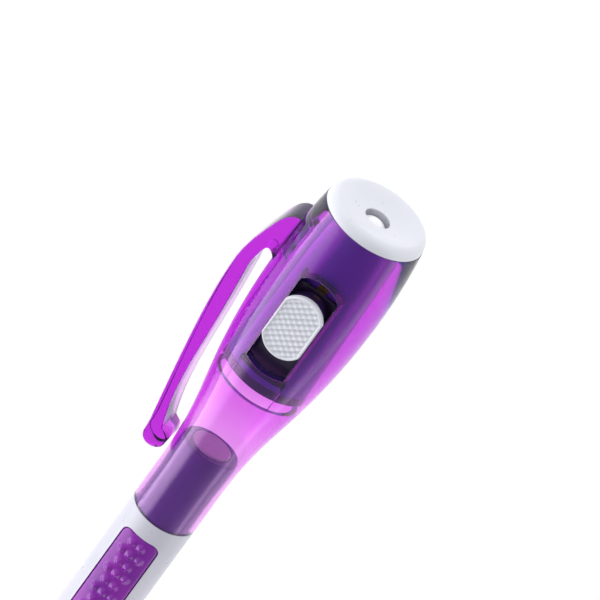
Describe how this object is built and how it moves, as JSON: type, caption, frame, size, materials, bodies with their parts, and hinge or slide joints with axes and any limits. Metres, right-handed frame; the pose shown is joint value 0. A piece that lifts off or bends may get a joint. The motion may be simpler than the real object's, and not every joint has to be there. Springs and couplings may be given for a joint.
{
  "type": "counterfeit detector pen",
  "caption": "Capped fibre-tip detector marker with a clear purple head, a slide-switched ultraviolet lamp in its end, a pocket clip and grips of raised dots.",
  "frame": {"origin": "on the pen's axis, in the barrel's plain band just behind the nib cap", "axes": "+X along the pen towards the lamp, +Z towards the switch button, +Y towards the pocket clip"},
  "size_m": [0.137, 0.0211, 0.0181],
  "materials": {
    "purple_clear": "transparent polished",
    "white_plastic": "semi-gloss moulded",
    "purple_tube": "translucent moulded",
    "dark_plastic": "moulded",
    "lamp_epoxy": "clear",
    "plated_metal": "nickel plated",
    "cell_steel": "brushed",
    "copper_alloy": "stamped",
    "ink_fibre": "matt fibre",
    "clear_film": "film",
    "section_plastic": "moulded"
  },
  "bodies": {
    "pen": {"barrel_sleeve": "white_plastic", "inner_barrel": "purple_tube", "barrel_plug": "white_plastic", "nib_section": "section_plastic", "fibre_nib": "ink_fibre", "ink_reservoir": "ink_fibre", "reservoir_sleeve": "clear_film", "head_shell": "purple_clear", "lamp_bezel": "white_plastic", "lamp_ring": "plated_metal", "uv_lamp": "lamp_epoxy", "lamp_leads": "plated_metal", "lamp_carrier": "dark_plastic", "switch_contact_strip": "copper_alloy", "cell_cover": "dark_plastic", "button_cell_1": "cell_steel", "button_cell_2": "cell_steel", "button_cell_3": "cell_steel", "cell_spring": "plated_metal", "front_contact": "copper_alloy"},
    "clip": {"pocket_clip": "purple_clear"},
    "switch": {"switch_button": "white_plastic", "switch_slider": "dark_plastic", "switch_leaf": "copper_alloy"},
    "cap": {"nib_cap": "purple_clear", "cap_seal": "section_plastic"}
  },
  "joints": [
    {"name": "switch_slide", "type": "slide", "parent": "pen", "child": "switch", "axis": [1, 0, 0], "range_m": [0, 0.0022]},
    {"name": "clip_flex", "type": "hinge", "parent": "pen", "child": "clip", "pos_m": [0.0976, 0.0089, 0], "axis": [0, 0, -1], "range_deg": [0, 5], "stiffness_Nm_per_rad": 0.3},
    {"name": "cap_pull", "type": "slide", "parent": "pen", "child": "cap", "axis": [-1, 0, 0], "range_m": [0, 0.028]}
  ]
}
